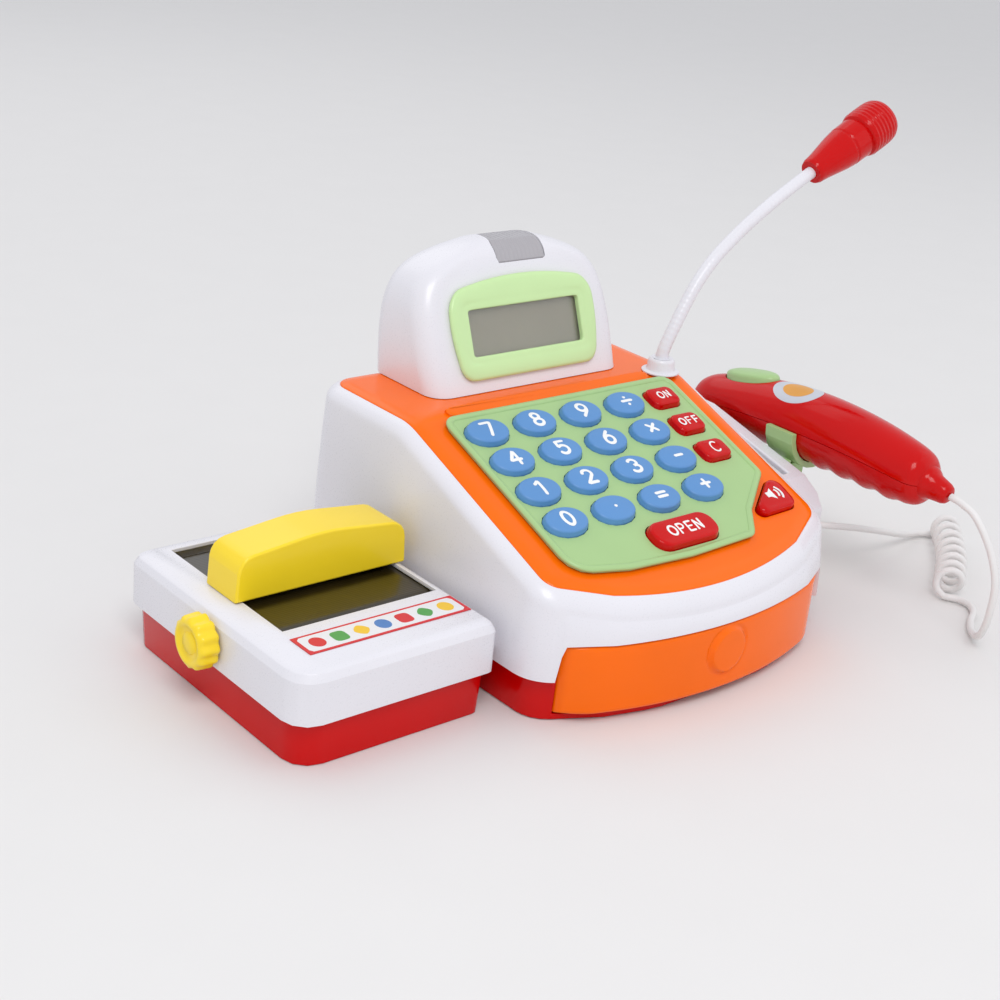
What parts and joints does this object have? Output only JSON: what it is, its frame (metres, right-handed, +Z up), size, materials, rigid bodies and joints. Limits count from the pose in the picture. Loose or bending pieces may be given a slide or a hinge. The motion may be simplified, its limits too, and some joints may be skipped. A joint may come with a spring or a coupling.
{
  "type": "toy cash register",
  "caption": "A toy cash register with number keys, a display hood, a gooseneck microphone, a card reader, a corded hand scanner, a money drawer and a hand-turned belt.",
  "frame": {"origin": "on the register's underside, at its symmetry plane", "axes": "+X from the conveyor to the hand scanner, +Y to the back, +Z up"},
  "size_m": [0.3875, 0.2049, 0.1936],
  "materials": {
    "white_abs": "moulded white ABS, semi-gloss",
    "orange_abs": "moulded orange ABS, glossy",
    "green_abs": "moulded leaf-green ABS, semi-gloss",
    "pale_green_abs": "moulded pale green ABS",
    "blue_abs": "moulded blue ABS",
    "red_abs": "moulded red ABS, glossy",
    "yellow_abs": "moulded yellow ABS",
    "display_grey": "plain reflective display glass",
    "clear_styrene": "clear polystyrene",
    "smoked_styrene": "smoky clear polystyrene",
    "dark_belt": "thin dark brown belt",
    "circuit_board_resin": "phenolic paper board",
    "grey_silicone": "silicone switch mat",
    "dark_paper_cone": "paper cone in a pressed steel basket",
    "white_pvc": "soft PVC cord jacket"
  },
  "bodies": {
    "register": {"base_tray": "red_abs", "battery_cover": "red_abs", "body_shell": "white_abs", "card_reader": "white_abs", "circuit_board": "circuit_board_resin", "conveyor_base": "red_abs", "conveyor_belt": "dark_belt", "conveyor_housing": "white_abs", "cord_coil": "white_pvc", "cord_gland": "white_abs", "cord_register_lead": "white_pvc", "cord_scanner_lead": "white_pvc", "deck_panel": "orange_abs", "display_bezel": "pale_green_abs", "display_module": "display_grey", "display_window": "clear_styrene", "drawer_latch": "white_abs", "hood_shell": "white_abs", "information_strip": "red_abs", "key_membrane": "grey_silicone", "keypad_panel": "green_abs", "lamp_cover": "smoked_styrene", "mic_socket": "white_abs", "scan_bridge": "yellow_abs", "scanner_cradle": "green_abs", "speaker": "dark_paper_cone"},
    "drawer": {"drawer_front": "orange_abs", "drawer_tray": "orange_abs"},
    "scanner": {"scanner_cord_bush": "red_abs", "scanner_lens": "smoked_styrene", "scanner_lower": "red_abs", "scanner_upper": "red_abs"},
    "trigger": {"scanner_trigger": "green_abs"},
    "belt_drive": {"conveyor_knob": "yellow_abs", "drive_roller": "white_abs"},
    "front_belt_roller": {"front_roller": "white_abs"},
    "rear_belt_roller": {"rear_roller": "white_abs"},
    "microphone": {"mic_head": "red_abs", "mic_stalk": "white_abs"},
    "key_0_cap": {"key_0": "blue_abs"},
    "key_1_cap": {"key_1": "blue_abs"},
    "key_2_cap": {"key_2": "blue_abs"},
    "key_3_cap": {"key_3": "blue_abs"},
    "key_4_cap": {"key_4": "blue_abs"},
    "key_5_cap": {"key_5": "blue_abs"},
    "key_6_cap": {"key_6": "blue_abs"},
    "key_7_cap": {"key_7": "blue_abs"},
    "key_8_cap": {"key_8": "blue_abs"},
    "key_9_cap": {"key_9": "blue_abs"},
    "key_divide_cap": {"key_divide": "blue_abs"},
    "key_equals_cap": {"key_equals": "blue_abs"},
    "key_minus_cap": {"key_minus": "blue_abs"},
    "key_plus_cap": {"key_plus": "blue_abs"},
    "key_point_cap": {"key_point": "blue_abs"},
    "key_times_cap": {"key_times": "blue_abs"},
    "button_on_cap": {"button_on": "red_abs"},
    "button_off_cap": {"button_off": "red_abs"},
    "button_clear_cap": {"button_clear": "red_abs"},
    "button_open_cap": {"button_open": "red_abs"},
    "button_volume_cap": {"button_volume": "red_abs"}
  },
  "joints": [
    {"name": "key_0_press", "type": "slide", "parent": "register", "child": "key_0_cap", "axis": [0, 0.3551, -0.9348], "range_m": [0, 0.0015], "stiffness_N_per_m": 200, "springref_m": -0.001},
    {"name": "key_1_press", "type": "slide", "parent": "register", "child": "key_1_cap", "axis": [0, 0.3551, -0.9348], "range_m": [0, 0.0015], "stiffness_N_per_m": 200, "springref_m": -0.001},
    {"name": "key_2_press", "type": "slide", "parent": "register", "child": "key_2_cap", "axis": [0, 0.3551, -0.9348], "range_m": [0, 0.0015], "stiffness_N_per_m": 200, "springref_m": -0.001},
    {"name": "key_3_press", "type": "slide", "parent": "register", "child": "key_3_cap", "axis": [0, 0.3551, -0.9348], "range_m": [0, 0.0015], "stiffness_N_per_m": 200, "springref_m": -0.001},
    {"name": "key_4_press", "type": "slide", "parent": "register", "child": "key_4_cap", "axis": [0, 0.3551, -0.9348], "range_m": [0, 0.0015], "stiffness_N_per_m": 200, "springref_m": -0.001},
    {"name": "key_5_press", "type": "slide", "parent": "register", "child": "key_5_cap", "axis": [0, 0.3551, -0.9348], "range_m": [0, 0.0015], "stiffness_N_per_m": 200, "springref_m": -0.001},
    {"name": "key_6_press", "type": "slide", "parent": "register", "child": "key_6_cap", "axis": [0, 0.3551, -0.9348], "range_m": [0, 0.0015], "stiffness_N_per_m": 200, "springref_m": -0.001},
    {"name": "key_7_press", "type": "slide", "parent": "register", "child": "key_7_cap", "axis": [0, 0.3551, -0.9348], "range_m": [0, 0.0015], "stiffness_N_per_m": 200, "springref_m": -0.001},
    {"name": "key_8_press", "type": "slide", "parent": "register", "child": "key_8_cap", "axis": [0, 0.3551, -0.9348], "range_m": [0, 0.0015], "stiffness_N_per_m": 200, "springref_m": -0.001},
    {"name": "key_9_press", "type": "slide", "parent": "register", "child": "key_9_cap", "axis": [0, 0.3551, -0.9348], "range_m": [0, 0.0015], "stiffness_N_per_m": 200, "springref_m": -0.001},
    {"name": "key_divide_press", "type": "slide", "parent": "register", "child": "key_divide_cap", "axis": [0, 0.3551, -0.9348], "range_m": [0, 0.0015], "stiffness_N_per_m": 200, "springref_m": -0.001},
    {"name": "key_equals_press", "type": "slide", "parent": "register", "child": "key_equals_cap", "axis": [0, 0.3551, -0.9348], "range_m": [0, 0.0015], "stiffness_N_per_m": 200, "springref_m": -0.001},
    {"name": "key_minus_press", "type": "slide", "parent": "register", "child": "key_minus_cap", "axis": [0, 0.3551, -0.9348], "range_m": [0, 0.0015], "stiffness_N_per_m": 200, "springref_m": -0.001},
    {"name": "key_plus_press", "type": "slide", "parent": "register", "child": "key_plus_cap", "axis": [0, 0.3551, -0.9348], "range_m": [0, 0.0015], "stiffness_N_per_m": 200, "springref_m": -0.001},
    {"name": "key_point_press", "type": "slide", "parent": "register", "child": "key_point_cap", "axis": [0, 0.3551, -0.9348], "range_m": [0, 0.0015], "stiffness_N_per_m": 200, "springref_m": -0.001},
    {"name": "key_times_press", "type": "slide", "parent": "register", "child": "key_times_cap", "axis": [0, 0.3551, -0.9348], "range_m": [0, 0.0015], "stiffness_N_per_m": 200, "springref_m": -0.001},
    {"name": "button_on_press", "type": "slide", "parent": "register", "child": "button_on_cap", "axis": [0, 0.3551, -0.9348], "range_m": [0, 0.0015], "stiffness_N_per_m": 200, "springref_m": -0.001},
    {"name": "button_off_press", "type": "slide", "parent": "register", "child": "button_off_cap", "axis": [0, 0.3551, -0.9348], "range_m": [0, 0.0015], "stiffness_N_per_m": 200, "springref_m": -0.001},
    {"name": "button_clear_press", "type": "slide", "parent": "register", "child": "button_clear_cap", "axis": [0, 0.3551, -0.9348], "range_m": [0, 0.0015], "stiffness_N_per_m": 200, "springref_m": -0.001},
    {"name": "button_open_press", "type": "slide", "parent": "register", "child": "button_open_cap", "axis": [0, 0.3551, -0.9348], "range_m": [0, 0.0015], "stiffness_N_per_m": 200, "springref_m": -0.001},
    {"name": "button_volume_press", "type": "slide", "parent": "register", "child": "button_volume_cap", "axis": [0, 0.3551, -0.9348], "range_m": [0, 0.0012], "stiffness_N_per_m": 200, "springref_m": -0.001},
    {"name": "trigger_press", "type": "slide", "parent": "scanner", "child": "trigger", "axis": [0, -0.1908, -0.9816], "range_m": [0, 0.0012], "stiffness_N_per_m": 200, "springref_m": -0.001},
    {"name": "drawer_slide", "type": "slide", "parent": "register", "child": "drawer", "axis": [0, -1, 0], "range_m": [0, 0.07]},
    {"name": "scanner_lift", "type": "slide", "parent": "register", "child": "scanner", "axis": [0, 0, 1], "range_m": [0, 0.06]},
    {"name": "belt_knob_turn", "type": "hinge", "parent": "register", "child": "belt_drive", "pos_m": [-0.1686, 0.022, 0.0264], "axis": [1, 0, 0], "continuous": true},
    {"name": "front_roller_turn", "type": "hinge", "parent": "register", "child": "front_belt_roller", "pos_m": [-0.155, 0.003, 0.0279], "axis": [1, 0, 0], "continuous": true},
    {"name": "rear_roller_turn", "type": "hinge", "parent": "register", "child": "rear_belt_roller", "pos_m": [-0.155, 0.065, 0.0279], "axis": [1, 0, 0], "continuous": true},
    {"name": "microphone_swivel", "type": "hinge", "parent": "register", "child": "microphone", "pos_m": [0.0625, 0.0425, 0.0845], "axis": [0, 0, 1], "range_deg": [-60, 60]}
  ],
  "couplings": [
    {"joint": "front_roller_turn", "follows": "belt_knob_turn", "ratio": 0.75},
    {"joint": "rear_roller_turn", "follows": "belt_knob_turn", "ratio": 0.75}
  ]
}
